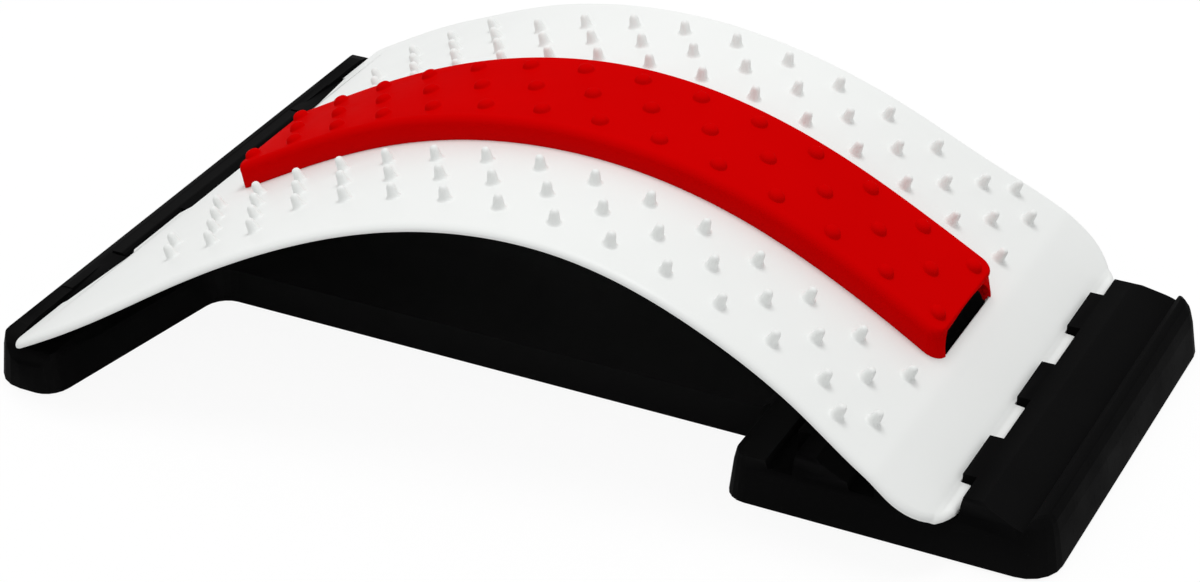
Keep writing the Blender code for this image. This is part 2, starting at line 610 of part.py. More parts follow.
def make_base(parts, cutters, material):
    """Make the black base: drafted walls, a hollow underside, the hinge end and the rows of teeth."""
    builder = bmesh.new()
    loft(builder, [rounded_outline(inset, z) for z, inset in WALL_LEVELS])
    base = add_object("base", builder, parts, material)

    builder = bmesh.new()
    loft(builder, [[(x, y, z) for x, z in top_profile()] for y in (-BEYOND, BEYOND)])
    combine(base, add_object("base_top_line", builder, cutters), "INTERSECT")

    builder = bmesh.new()
    side = [(y, z + BASE_LIFT) for y, z in HINGE_END_FALL]
    crown = [(HINGE_WALL_STEP_Y, HINGE_WALL_SIDE_TOP + BASE_LIFT), (HINGE_WALL_STEP_Y, BEYOND)]
    half = [(BEYOND, -BEYOND), (BEYOND, side[-1][1])] + side[::-1] + crown
    outline = half + [(-y, z) for y, z in reversed(half)]
    loft(builder, [[(x, y, z) for y, z in outline] for x in (-BEYOND, BEYOND)])
    combine(base, add_object("hinge_end_fall", builder, cutters), "INTERSECT")

    builder = bmesh.new()
    loft(builder, [rounded_outline(SHELL_THICK, -CUTTER_REACH),
                   rounded_outline(SHELL_THICK + HOLLOW_DRAFT, CAVITY_HEIGHT)])
    combine(base, add_object("base_hollow", builder, cutters), "DIFFERENCE")

    half = RIB_THICK / 2
    low, high = BASE_LIFT + RIB_SET_BACK, BASE_LIFT + CAVITY_HEIGHT + 2 * OVERLAP
    builder = bmesh.new()
    for places, reach in ((BRIDGE_RIBS, BRIDGE_RIB_HALF), (PLATE_RIBS, PLATE_RIB_HALF)):
        for x in places:
            add_box(builder, (x - half, -reach, low), (x + half, reach, high))
    combine(base, add_object("cross_ribs", builder, cutters), "UNION")
    low, high = low + RIB_STEP, high - RIB_STEP
    builder = bmesh.new()
    for y in SPINE_RIBS:
        add_box(builder, (-SPINE_RIB_END, y - half, low), (SPINE_RIB_END, y + half, high))
    for y in (-HINGE_RIB_Y, HINGE_RIB_Y):
        add_box(builder, (-SPINE_RIB_END, y - half, low), (HINGE_RIB_END, y + half, high))
    combine(base, add_object("spine_ribs", builder, cutters), "UNION")

    builder = bmesh.new()
    for x, y in pad_places():
        add_disc(builder, (x, y), BOSS_RADIUS, BASE_LIFT + BOSS_SET_BACK, BASE_LIFT + CAVITY_HEIGHT + OVERLAP)
    combine(base, add_object("pad_bosses", builder, cutters), "UNION")
    builder = bmesh.new()
    for x, y in pad_places():
        add_disc(builder, (x, y), PAD_RADIUS + PAD_CLEARANCE, -CUTTER_REACH, BASE_LIFT + PAD_SOCKET_DEPTH)
    combine(base, add_object("pad_sockets", builder, cutters), "DIFFERENCE")

    builder = bmesh.new()
    arc = [math.radians(angle) for angle in range(-90, 91, HINGE_BAR_STEP)]
    back = HINGE_WALL_X - HINGE_BAR_ROOT
    nose = [(PIVOT[0] + HINGE_BAR_RADIUS * math.cos(t), PIVOT[2] + HINGE_BAR_RADIUS * math.sin(t)) for t in arc]
    nose += [(back, PIVOT[2] + HINGE_BAR_RADIUS), (back, PIVOT[2] - HINGE_BAR_RADIUS)]
    loft(builder, [[(x, y, z) for x, z in nose] for y in (-HINGE_BAR_HALF, HINGE_BAR_HALF)])
    combine(base, add_object("hinge_bar", builder, cutters), "UNION")

    builder = bmesh.new()
    floor, top = BASE_LIFT + HINGE_SHELF - OVERLAP, BASE_LIFT + TOOTH_TOP
    add_box(builder, (back, -MIDDLE_TOOTH_HALF, floor), (TOOTH_REACH, MIDDLE_TOOTH_HALF, top))
    for side in (-1, 1):
        loops = []
        for y, reach, height in ((SIDE_TOOTH[0], TOOTH_REACH, top), (SIDE_TOOTH[1], PIVOT[0], PIVOT[2])):
            loops.append([(back, side * y, floor), (reach, side * y, floor),
                          (reach, side * y, height), (back, side * y, height)])
        loft(builder, loops)
    for k in range(ROW_COUNT):
        wall = LAST_ROW_X - ROW_PITCH * k
        for y_low, y_high in ROW_TEETH:
            add_box(builder, (wall - ROW_TEETH_REACH, y_low, BASE_LIFT + ROW_LANDING - OVERLAP),
                    (wall + OVERLAP, y_high, BASE_LIFT + ROW_TOP - ROW_TOOTH_STEP))
    combine(base, add_object("teeth", builder, cutters), "UNION")
    return base


def pad_places():
    """List the x and y of every pad."""
    return [(x, side * y) for x, y in PAD_PLACES for side in (-1, 1)]


def make_pads(parts, material):
    """Make the rubber pads."""
    for k, (x, y) in enumerate(pad_places(), start=1):
        builder = bmesh.new()
        add_disc(builder, (x, y), PAD_RADIUS, 0.0, PAD_THICK)
        pad = add_object(f"pad_{k}", builder, parts, material)
        chamfer(pad, PAD_BEVEL)


def main():
    """Build the whole object."""
    clear_scene()
    parts = new_collection(COLLECTION)
    cutters = new_collection("cutters")
    make_base(parts, cutters, new_material("base_plastic", BLACK, 0.45))
    make_board(parts, cutters, new_material("board_plastic", WHITE, 0.35))
    make_strip(parts, cutters, new_material("strip_plastic", RED, 0.4))
    make_pads(parts, new_material("pad_rubber", RUBBER, 0.8))
    for item in parts.objects:
        apply_modifiers(item)


main()
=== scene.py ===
"""Back stretcher: the finish of its surfaces, its fine moulded shapes, the light and the camera.

The board and the strip are bent along one arch. Their fine meshes are drawn flat, by arc length
and width in millimetres, each point is placed on the arch, and the mesh is turned into metres.
The camera, the light and the floor are placed in metres.
"""
import math

import bmesh
import bpy
import numpy as np
from mathutils import Matrix, Vector


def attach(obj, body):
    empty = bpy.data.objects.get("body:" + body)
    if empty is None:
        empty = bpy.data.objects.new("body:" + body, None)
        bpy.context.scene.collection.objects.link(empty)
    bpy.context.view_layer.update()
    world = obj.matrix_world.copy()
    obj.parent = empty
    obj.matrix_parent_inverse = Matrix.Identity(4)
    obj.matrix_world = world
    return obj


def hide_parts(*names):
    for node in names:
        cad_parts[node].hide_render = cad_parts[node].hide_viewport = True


MM = 0.001
WHITE = (1.0, 1.0, 1.0, 1.0)

# Camera at the photograph's viewing angle: its roll is in degrees, its lens and sensor in millimetres
CAMERA_PLACE = (0.40454, -0.7589, 0.54643)
CAMERA_TARGET = (-0.0092, 0.0, 0.0139)
CAMERA_ROLL = -2.045
CAMERA_LENS = 87.11
CAMERA_SENSOR = 36.0
CAMERA_CLIP_START = 0.01

# Light: the sky that lights the object, and one large round lamp that is aimed at the origin
SKY_STRENGTH = 0.63
KEY_PLACE = (0.0, 0.2, 1.5)
KEY_SIZE = 0.7
KEY_POWER = 8.8

# Floor: white to the camera, with a share of the floor's own shade
FLOOR_SIZE = 8.0
FLOOR_COLOR = (0.75, 0.75, 0.75, 1.0)
FLOOR_ROUGHNESS = 0.9
FLOOR_WHITE = 1.04
FLOOR_SHADE = 0.12

# Arch of the board's top face: tangent in degrees along its arc length, which is 0 in the middle
ARCH_TANGENTS = ((-160, 28.7), (-110, 28.3), (-60, 19.1), (-10, 4.8), (40, -12.3), (90, -26.1), (140, -31.6))
ARCH_MIDDLE_X = -8.0
ARCH_MIDDLE_Z = 83.6
ARCH_STEP = 0.25
ARCH_MARGIN = 8

# Bends near the arch's right end: arc length, tangent after the bend and half of the bend's length
CREASE = (150.0, -39.4, 2.0)
FLANGE_BEND = (173.4, -6.0, 0.4)
BENDS = (CREASE, FLANGE_BEND)

# Steps of the fine meshes, and the gaps that keep their points apart, of which one is a turn in radians
FINE_STEP = 2.0
CORNER_STEPS = 12
BEND_SHARES = (-1.0, -0.5, 0.0, 0.5, 1.0)
BEND_GAP = 0.5
BEND_TURN_GAP = 0.03
EDGE_GAP = 0.8
SLOPE_REACH = 1.0
WELD_GAP = 0.1

# Shading and softened edges: a bevel is its width and the angle in degrees above which an edge is softened
SHARP_ANGLE = 40.0
FINE_WEIGHT = 100
BASE_WEIGHT = 50
BASE_BEVEL = (0.4, 40.0)
BOARD_BEVEL = (0.25, 50.0)
BEVEL_SEGMENTS = 2

# Pads below the base
PAD_COUNT = 6

# Board: a level of its rim is height, side inset, left inset and right inset
BOARD_LEFT = -179.6
BOARD_RIGHT = 178.0
BOARD_FOOT = ((-2.4, 0.35, 0.35, 0.35), (-2.05, 0.0, 0.0, 0.0))
BOARD_SHOULDER = (-1.85, 0.03, 0.0, 0.0)
BOARD_TOP = (0.0, 3.4, 1.9, 1.9)
BOARD_RIM_STEPS = 7
BOARD_WIDTHS = (
    (-182, 121.9), (-160, 122.2), (-134, 117.5), (-112, 109.0), (-80, 99.5), (-40, 90.0),
    (0, 83.8), (32, 81.2), (82, 81.5), (118, 83.8), (144, 88.0), (160, 89.0), (180, 89.0),
)
LEFT_CORNER = 6.0
RIGHT_CORNER = 20.0

# Cuts in the board: its left edge in x and y, the notches for a row of teeth by their y, the slots for the
# snap legs by half length and half width, and the slot below the strip's right mouth by arc length
EDGE_CUT = ((-200.0, 93.0), (-172.6, 93.0), (-170.2, 91.5), (-164.4, 59.5), (-167.7, 55.0), (-167.7, 26.5),
            (-164.2, 23.3))
ROW_TEETH = ((-59.1, -35.7), (-11.5, 11.5), (35.7, 59.1))
ROW_NOTCH_X = (148.7, 161.8)
ROW_NOTCH_Z = (0.0, 40.0)
NOTCH_CLEARANCE = 0.5
SLOT_STATIONS = (-110.0, -40.0, 40.0, 110.0)
SLOT_HALF = (2.2, 7.4)
MOUTH_SLOT = (138.2, 145.6)
MOUTH_SLOT_CORNERS = (1.0, 4.8)
CUT_REACH = (-6.4, 4.0)

# Pins: a line holds every second step from its first to its last, and a profile is radius and height
PIN_STEP = 10.0
PIN_LINE_GAP = 14.0
FIRST_PIN_LINE = 39.7
PIN_MIDDLE_INDEX = 16
PIN_LINES = ((2, 30), (3, 29), (2, 30), (3, 7))
ODD_PIN = (29, 76.5)
PIN_PROFILE = (
    (2.95, -0.06), (2.62, 0.08), (2.34, 0.32), (2.12, 0.7), (1.94, 1.3), (1.8, 2.1),
    (1.68, 3.0), (1.55, 3.7), (1.34, 4.3), (1.0, 4.72), (0.58, 4.93), (0.0, 5.0),
)
KNOB_SIDES = 24

# Strip: a level is height, side inset, left inset, right inset, left corner and right corner. The lifts are
# the shares of these heights along the arch, because the strip is a little lower in the middle
STRIP_LEFT = -142.5
STRIP_RIGHT = 146.0
STRIP_HEIGHT = 8.6
STRIP_WIDTHS = ((-143, 24.6), (-70, 24.9), (0, 26.2), (70, 24.9), (125, 24.8), (146, 25.4))
STRIP_LIFTS = ((-143, 1.0), (-90, 0.99), (-50, 0.97), (-15, 0.93), (20, 0.91), (50, 0.93), (80, 0.98),
               (110, 1.0), (146, 1.0))
STRIP_WALL = 2.2
STRIP_STATIONS = 140
STRIP_FOOT = (0.1, 0.0, 0.0, 0.0, 4.6, 6.5)
STRIP_SHOULDER = (5.6, 0.3, 1.6, 5.0, 4.6, 5.5)
STRIP_TOP = (STRIP_HEIGHT, 3.5, 3.0, 6.4, 3.2, 3.5)
STRIP_RIM_STEPS = 8
STRIP_HOLLOW = (
    (-0.6, 0.0, 0.0, 0.0, 3.5, 5.0), (4.2, 0.3, 1.6, 4.0, 3.5, 4.5), (6.4, 2.3, 1.6, 4.8, 3.0, 3.5),
)

# Mouths at the strip's two ends by start, end and height, and the skirt below the right one, whose levels
# are height, side inset, left inset and right inset
LEFT_MOUTH = (-145.5, -134.5, 6.9)
RIGHT_MOUTH = (139.5, 149.0, 8.0)
MOUTH_HALF_WIDTH = 19.8
MOUTH_FLOOR = -3.0
MOUTH_SQUARENESS = 0.85
MOUTH_STEPS = 28
SKIRT_LEVELS = ((-2.3, 0.3, 0.3, 0.3), (0.2, 0.3, 0.3, 0.3), (1.5, -0.6, 0.3, 1.8))
SKIRT_HOLLOW = ((-3.0, 1.2, -2.0, 1.2), (2.5, 1.2, -2.0, 1.2))

# Domes on the strip, and the snap legs below it, whose profile is arc length and height
DOME_PITCH = 20.9
DOME_FIRST_SIDE = -136.8
DOME_FIRST_MIDDLE = -126.3
DOME_LINE = 15.8
DOME_SIDE_COUNT = 14
DOME_PROFILE = (
    (3.3, -0.12), (3.06, 0.0), (2.92, 0.28), (2.76, 0.75), (2.48, 1.25), (2.04, 1.68),
    (1.44, 1.98), (0.74, 2.12), (0.0, 2.16),
)
LEG_HALF_WIDTH = 7.0
LEG_PROFILE = ((-1.5, 6.8), (1.2, 6.8), (1.2, -2.7), (3.4, -2.7), (1.2, -4.7), (-1.5, -4.7))

# Surface detail: noise scales per metre, and the ranges of the noise that show
NOISE_RANGE = (0.3, 0.7)
CLOUD_SCALE = 18.0
CLOUD_DETAIL = 5.0
GLOSS_SCALE = 55.0
GLOSS_DETAIL = 5.0
GLOSS_SPREAD = 0.06
GRAIN_DETAIL = 3.0
SCUFF_STRETCH = (45.0, 1300.0, 260.0)
SCUFF_DETAIL = 2.0
SCUFF_RANGE = (0.62, 0.72)
SCUFF_ROUGHNESS = 0.12
WORN_POINTINESS = (0.53, 0.62)


def natural_spline(points):
    """Return a smooth function through the points."""
    xs, ys = (np.array(column, float) for column in zip(*points))
    count = len(xs)
    step = np.diff(xs)
    matrix = np.eye(count)
    right = np.zeros(count)
    for k in range(1, count - 1):
        matrix[k, k - 1:k + 2] = step[k - 1], 2 * (step[k - 1] + step[k]), step[k]
        right[k] = 6 * ((ys[k + 1] - ys[k]) / step[k] - (ys[k] - ys[k - 1]) / step[k - 1])
    bend = np.linalg.solve(matrix, right)

    def value(x):
        x = np.clip(x, xs[0], xs[-1])
        k = np.clip(np.searchsorted(xs, x) - 1, 0, count - 2)
        ahead, behind = xs[k + 1] - x, x - xs[k]
        curve = (bend[k] * ahead ** 3 + bend[k + 1] * behind ** 3) / (6 * step[k])
        low_share = (ys[k] / step[k] - bend[k] * step[k] / 6) * ahead
        high_share = (ys[k + 1] / step[k] - bend[k + 1] * step[k] / 6) * behind
        return curve + (low_share + high_share)

    return value


class Arch:
    """The bent line of the board's top face, by arc length."""

    def __init__(self):
        self.s = np.arange(BOARD_LEFT - ARCH_MARGIN, BOARD_RIGHT + ARCH_MARGIN, ARCH_STEP)
        tangent = natural_spline(ARCH_TANGENTS)(self.s)
        for place, after, half_length in BENDS:
            share = np.clip((self.s - place) / (2 * half_length) + 0.5, 0.0, 1.0)
            tangent = tangent * (1 - share) + after * share
        self.angle = np.radians(tangent)
        self.x = self.along(np.cos(self.angle)) + ARCH_MIDDLE_X
        self.z = self.along(np.sin(self.angle)) + ARCH_MIDDLE_Z

    def along(self, rate):
        """Add a rate up along the arc, from the middle."""
        steps = (rate[1:] + rate[:-1]) / 2 * np.diff(self.s)
        total = np.concatenate([[0.0], np.cumsum(steps)])
        return total - np.interp(0.0, self.s, total)

    def frame(self, s):
        """Return x, z and the tangent angle at an arc length."""
        return (float(np.interp(s, self.s, column)) for column in (self.x, self.z, self.angle))

    def point(self, s, y, height):
        """Return the point at an arc length, a y and a height above the top face."""
        x, z, angle = self.frame(s)
        return (x - math.sin(angle) * height, y, z + math.cos(angle) * height)

    def flat_point(self, s, x, y, height):
        """Return the point above an x on the plane that touches the top face at an arc length."""
        touch_x, touch_z, angle = self.frame(s)
        z = touch_z + math.tan(angle) * (x - touch_x)
        return (x - math.sin(angle) * height, y, z + math.cos(angle) * height)


ARCH = Arch()
BOARD_WIDTH = natural_spline(BOARD_WIDTHS)
STRIP_WIDTH = natural_spline(STRIP_WIDTHS)
STRIP_LIFT = natural_spline(STRIP_LIFTS)


def bend_stations(bend):
    """List the arc lengths that draw a bend."""
    place, _, half_length = bend
    return [place + half_length * share for share in BEND_SHARES]


def put_between(values, near, gap):
    """Return the values that keep a gap from the near ones, together with the near ones, in order."""
    return sorted([value for value in values if min(abs(value - other) for other in near) > gap] + near)


class Plate:
    """A flat outline in arc length and y, symmetric about y = 0, that is bent along the arch.

    Its stations keep clear of the edges of later cuts, so that no sliver is left beside a cut.
    """

    def __init__(self, start, end, half_width, start_corner, end_corner, bends=(), count=None, edges=()):
        self.pairs = []
        self.add_corner(start, half_width, start_corner, -1, bends)
        low, high = start + start_corner, end - end_corner
        stations = list(np.linspace(low, high, count or round((high - low) / FINE_STEP) + 1)[1:-1])
        for bend in bends:
            if low < bend[0] < high:
                stations = put_between(stations, bend_stations(bend), BEND_GAP)
        for s in stations:
            if all(abs(s - edge) > EDGE_GAP for edge in edges):
                slope = (half_width(s + SLOPE_REACH) - half_width(s - SLOPE_REACH)) / (2 * SLOPE_REACH)
                length = math.hypot(1.0, slope)
                self.pairs.append((s, half_width(s), -slope / length, 1.0 / length))
        self.add_corner(end, half_width, end_corner, 1, bends)

    def add_corner(self, end, half_width, radius, way, bends):
        """Add a round corner, from the outline's left to its right, with points at each bend of the plate."""
        center = end - way * radius
        reach = half_width(center) - radius
        turns = [math.pi / 2 * k / CORNER_STEPS for k in range(CORNER_STEPS + 1)]
        for bend in bends:
            if 0 < (bend[0] - center) * way < radius:
                near = [math.acos((s - center) * way / radius) for s in bend_stations(bend)]
                turns = put_between(turns, near, BEND_TURN_GAP)
        if way > 0:
            turns.reverse()
        for turn in turns:
            along, across = way * math.cos(turn), math.sin(turn)
            self.pairs.append((center + radius * along, reach + radius * across, along, across))

    def ring(self, height, inset=0.0, start_inset=0.0, end_inset=0.0, lift=None):
        """Return the outline on the arch at a height, moved in at its sides and at its two ends.

        A lift gives the share of the height that stays, by arc length.
        """
        side = [(s - along * (end_inset if along > 0 else start_inset), y - across * inset)
                for s, y, along, across in self.pairs]
        rises = [height * float(lift(s)) if lift else height for s, _ in side]
        return tuple([ARCH.point(s, way * y, rise) for (s, y), rise in zip(side, rises)] for way in (-1, 1))

    def body(self, builder, levels):
        """Build the closed body through levels of height, side inset, start inset and end inset."""
        join_rings(builder, [self.ring(*level) for level in levels])


def join_rings(builder, outlines):
    """Build the closed body through rings, each the near and the far half of an outline."""
    rings = [([builder.verts.new(point) for point in near], [builder.verts.new(point) for point in far])
             for near, far in outlines]
    count = len(rings[0][0])
    for (near, far), (near_up, far_up) in zip(rings, rings[1:]):
        for k in range(count - 1):
            builder.faces.new((near[k], near[k + 1], near_up[k + 1], near_up[k]))
            builder.faces.new((far[k + 1], far[k], far_up[k], far_up[k + 1]))
        builder.faces.new((far[0], near[0], near_up[0], far_up[0]))
        builder.faces.new((near[-1], far[-1], far_up[-1], near_up[-1]))
    for near, far in (rings[0], rings[-1]):
        for k in range(count - 1):
            builder.faces.new((near[k], near[k + 1], far[k + 1], far[k]))


def strip_body(builder, left, right, half_width, levels):
    """Build a body of the strip through its levels, each with insets and corners of its own."""
    rings = []
    for height, inset, left_inset, right_inset, left_corner, right_corner in levels:
        start, end = left + left_inset, right - right_inset
        plate = Plate(start, end, lambda s: half_width(s) - inset, left_corner, right_corner,
                      count=STRIP_STATIONS)
        rings.append(plate.ring(height, lift=STRIP_LIFT))
    join_rings(builder, rings)


def round_rim(low, high, steps):
    """Return the levels from a low one to a high one, along a quarter of an ellipse."""
    levels = []
    for step in range(steps + 1):
        turn = math.pi / 2 * step / steps
        shares = [math.sin(turn)] + [1 - math.cos(turn)] * (len(low) - 1)
        levels.append([a + (b - a) * share for a, b, share in zip(low, high, shares)])
    return levels


def loft(builder, loops):
    """Join loops of as many points each into a closed body."""
    rings = [[builder.verts.new(point) for point in loop] for loop in loops]
    for low, high in zip(rings, rings[1:]):
        for k in range(len(low)):
            after = (k + 1) % len(low)
            builder.faces.new((low[k], low[after], high[after], high[k]))
    builder.faces.new(rings[0])
    builder.faces.new(rings[-1])


def add_slab(builder, start, end, outline):
    """Add a short straight body on the arch between two arc lengths, from an outline of y and height."""
    loft(builder, [[ARCH.point(s, y, height) for y, height in outline] for s in (start, end)])


def add_box(builder, low, high):
    """Add a box between two corners."""
    cube = bmesh.ops.create_cube(builder, size=1.0)["verts"]
    bmesh.ops.scale(builder, vec=[b - a for a, b in zip(low, high)], verts=cube)
    bmesh.ops.translate(builder, vec=[(a + b) / 2 for a, b in zip(low, high)], verts=cube)


def make_object(name, builder):
    """Make an object in metres from a bmesh in millimetres."""
    bmesh.ops.recalc_face_normals(builder, faces=builder.faces[:])
    bmesh.ops.scale(builder, vec=(MM, MM, MM), verts=builder.verts[:])
    mesh = bpy.data.meshes.new(name)
    builder.to_mesh(mesh)
    builder.free()
    item = bpy.data.objects.new(name, mesh)
    bpy.context.scene.collection.objects.link(item)
    return item


def cut(item, builder):
    """Cut a body from an object."""
    combine(item, make_object("tool", builder), "DIFFERENCE")


def join_on(item, other):
    """Join another object onto an object, as one solid."""
    combine(item, other, "UNION")


def combine(item, tool, operation):
    """Combine an object with a tool, and remove the tool."""
    modifier = item.modifiers.new("combine", "BOOLEAN")
    modifier.object = tool
    modifier.operation = operation
    modifier.solver = "EXACT"
    keep_shape(item)
    bpy.data.objects.remove(tool)


def weld(item):
    """Merge the points that the cuts left too close together."""
    builder = bmesh.new()
    builder.from_mesh(item.data)
    bmesh.ops.remove_doubles(builder, verts=builder.verts[:], dist=WELD_GAP * MM)
    builder.to_mesh(item.data)
    builder.free()


def add_bevel(item, width, angle):
    """Add a modifier that rounds an object's sharp edges and leaves its mesh as it is."""
    modifier = item.modifiers.new("bevel", "BEVEL")
    modifier.width = width * MM
    modifier.segments = BEVEL_SEGMENTS
    modifier.limit_method = "ANGLE"
    modifier.angle_limit = math.radians(angle)
    modifier.harden_normals = False


def add_weights(item, weight):
    """Add a modifier that keeps large faces evenly shaded."""
    modifier = item.modifiers.new("weights", "WEIGHTED_NORMAL")
    modifier.keep_sharp = True
    modifier.weight = weight


def keep_shape(item):
    """Turn an object's modifiers into its mesh."""
    depsgraph = bpy.context.evaluated_depsgraph_get()
    mesh = bpy.data.meshes.new_from_object(item.evaluated_get(depsgraph))
    item.modifiers.clear()
    item.data = mesh


def shade(item):
    """Shade an object's faces smooth between its sharp edges."""
    item.data.shade_smooth()
    item.data.set_sharp_from_angle(angle=math.radians(SHARP_ANGLE))
    add_weights(item, FINE_WEIGHT)


def pin_places():
    """List the arc length, y and foot height of every pin."""
    steps = [(index, FIRST_PIN_LINE + PIN_LINE_GAP * line)
             for line, (first, last) in enumerate(PIN_LINES) for index in range(first, last + 1, 2)]
    places = []
    for index, y in steps + [ODD_PIN]:
        s = (index - PIN_MIDDLE_INDEX) * PIN_STEP
        places += [(s, y, 0.0), (s, -y, 0.0)]
    return places


def dome_places():
    """List the arc length, y and foot height of every dome on the strip."""
    places = []
    for k in range(DOME_SIDE_COUNT):
        s = DOME_FIRST_SIDE + DOME_PITCH * k
        places += [(s, DOME_LINE, strip_top(s)), (s, -DOME_LINE, strip_top(s))]
    for k in range(DOME_SIDE_COUNT - 1):
        s = DOME_FIRST_MIDDLE + DOME_PITCH * k
        places.append((s, 0.0, strip_top(s)))
    return places


def knob_points(s, y, foot, profile):
    """Return the points of a turned knob in metres: its rings from the foot up, then its tip."""
    x, z, angle = ARCH.frame(s)
    points = []
    for radius, rise in profile[:-1]:
        for k in range(KNOB_SIDES):
            turn = 2 * math.pi * k / KNOB_SIDES
            along, across, up = radius * math.cos(turn), radius * math.sin(turn), rise + foot
            place_x = x + math.cos(angle) * along - math.sin(angle) * up
            place_z = z + math.sin(angle) * along + math.cos(angle) * up
            points.append((place_x * MM, (y + across) * MM, place_z * MM))
    tip = profile[-1][1] + foot
    points.append(((x - math.sin(angle) * tip) * MM, y * MM, (z + math.cos(angle) * tip) * MM))
    return points


def knob_faces(first, ring_count):
    """Return the faces of a closed knob whose points start at an index."""
    faces = [tuple(range(first + KNOB_SIDES - 1, first - 1, -1))]
    for ring in range(ring_count - 1):
        low, high = first + ring * KNOB_SIDES, first + (ring + 1) * KNOB_SIDES
        for k in range(KNOB_SIDES):
            after = (k + 1) % KNOB_SIDES
            faces.append((low + k, low + after, high + after, high + k))
    top, tip = first + (ring_count - 1) * KNOB_SIDES, first + ring_count * KNOB_SIDES
    return faces + [(top + k, top + (k + 1) % KNOB_SIDES, tip) for k in range(KNOB_SIDES)]


def make_knobs(name, places, profile):
    """Make turned knobs that stand on the arch, as one mesh."""
    points, faces = [], []
    for s, y, foot in places:
        faces += knob_faces(len(points), len(profile) - 1)
        points += knob_points(s, y, foot, profile)
    mesh = bpy.data.meshes.new(name)
    mesh.from_pydata(points, [], faces)
    mesh.shade_smooth()
    mesh.set_sharp_from_angle(angle=math.radians(SHARP_ANGLE))
    item = bpy.data.objects.new(name, mesh)
    bpy.context.scene.collection.objects.link(item)
    return item


def board_half_width(s):
    """Return the board's half width at an arc length."""
    return float(BOARD_WIDTH(s))


def strip_half_width(s):
    """Return the strip's half width at its foot."""
    return float(STRIP_WIDTH(s))


def strip_top(s):
    """Return the height of the strip's top face, which is lower in the middle."""
    return STRIP_HEIGHT * float(STRIP_LIFT(s))


def hollow_half_width(s):
    """Return the half width of the strip's hollow at its foot."""
    return strip_half_width(s) - STRIP_WALL


def board_plate():
    """Return the board's bent plate, whose stations keep clear of the slots' edges."""
    along = SLOT_HALF[0]
    edges = [edge for s in SLOT_STATIONS for edge in (s - along, s + along)] + list(MOUTH_SLOT)
    return Plate(BOARD_LEFT, BOARD_RIGHT, board_half_width, LEFT_CORNER, RIGHT_CORNER, BENDS, edges=edges)


def board_cutters():
    """Build the bodies that cut the board's left edge, the notches at its right end and its slots."""
    builder = bmesh.new()
    outline = list(EDGE_CUT) + [(x, -y) for x, y in reversed(EDGE_CUT)]
    loft(builder, [[ARCH.flat_point(BOARD_LEFT, x, y, height) for x, y in outline] for height in CUT_REACH])
    for low, high in ROW_TEETH:
        near_corner = (ROW_NOTCH_X[0], low - NOTCH_CLEARANCE, ROW_NOTCH_Z[0])
        far_corner = (ROW_NOTCH_X[1], high + NOTCH_CLEARANCE, ROW_NOTCH_Z[1])
        add_box(builder, near_corner, far_corner)
    below, above = CUT_REACH
    along, across = SLOT_HALF
    slot = [(-across, below), (across, below), (across, above), (-across, above)]
    for s in SLOT_STATIONS:
        add_slab(builder, s - along, s + along, slot)
    mouth_slot = Plate(*MOUTH_SLOT, hollow_half_width, *MOUTH_SLOT_CORNERS)
    mouth_slot.body(builder, [(below,), (above,)])
    return builder


def make_board():
    """Make the fine board: the bent plate with its cut edges, notches and slots."""
    builder = bmesh.new()
    board_plate().body(builder, list(BOARD_FOOT) + round_rim(BOARD_SHOULDER, BOARD_TOP, BOARD_RIM_STEPS))
    board = make_object("board", builder)
    cut(board, board_cutters())
    weld(board)
    add_bevel(board, *BOARD_BEVEL)
    keep_shape(board)
    shade(board)
    return board


def make_channel():
    """Make the strip's bent channel, closed at both ends."""
    builder = bmesh.new()
    levels = [STRIP_FOOT] + round_rim(STRIP_SHOULDER, STRIP_TOP, STRIP_RIM_STEPS)
    strip_body(builder, STRIP_LEFT, STRIP_RIGHT, strip_half_width, levels)
    channel = make_object("strip", builder)
    builder = bmesh.new()
    strip_body(builder, STRIP_LEFT + STRIP_WALL, STRIP_RIGHT - STRIP_WALL, hollow_half_width, STRIP_HOLLOW)
    cut(channel, builder)
    return channel


def make_skirt():
    """Make the skirt that lines the board's slot below the strip's right mouth."""
    plate = Plate(*MOUTH_SLOT, hollow_half_width, *MOUTH_SLOT_CORNERS)
    builder = bmesh.new()
    plate.body(builder, SKIRT_LEVELS)
    skirt = make_object("skirt", builder)
    builder = bmesh.new()
    plate.body(builder, SKIRT_HOLLOW)
    cut(skirt, builder)
    return skirt


def mouth_outline(height):
    """Return the outline of a mouth in y and height: a full arch, open below."""
    arch = []
    for k in range(MOUTH_STEPS + 1):
        turn = math.pi * k / MOUTH_STEPS
        across = math.copysign(abs(math.cos(turn)) ** MOUTH_SQUARENESS, math.cos(turn))
        arch.append((MOUTH_HALF_WIDTH * across, height * math.sin(turn) ** MOUTH_SQUARENESS))
    arch[0], arch[-1] = (MOUTH_HALF_WIDTH, 0.0), (-MOUTH_HALF_WIDTH, 0.0)
    return [(MOUTH_HALF_WIDTH, MOUTH_FLOOR)] + arch + [(-MOUTH_HALF_WIDTH, MOUTH_FLOOR)]


def make_legs():
    """Make the four snap legs that hold the strip in the board's slots."""
    builder = bmesh.new()
    for s in SLOT_STATIONS:
        ends = (-LEG_HALF_WIDTH, LEG_HALF_WIDTH)
        loft(builder, [[ARCH.point(s + along, y, up) for along, up in LEG_PROFILE] for y in ends])
    return make_object("legs", builder)


def make_strip():
    """Make the fine strip: the channel with its skirt, its two mouths and its snap legs."""
    strip = make_channel()
    join_on(strip, make_skirt())
    builder = bmesh.new()
    for start, end, height in (LEFT_MOUTH, RIGHT_MOUTH):
        add_slab(builder, start, end, mouth_outline(height))
    cut(strip, builder)
    join_on(strip, make_legs())
    weld(strip)
    shade(strip)
    return strip


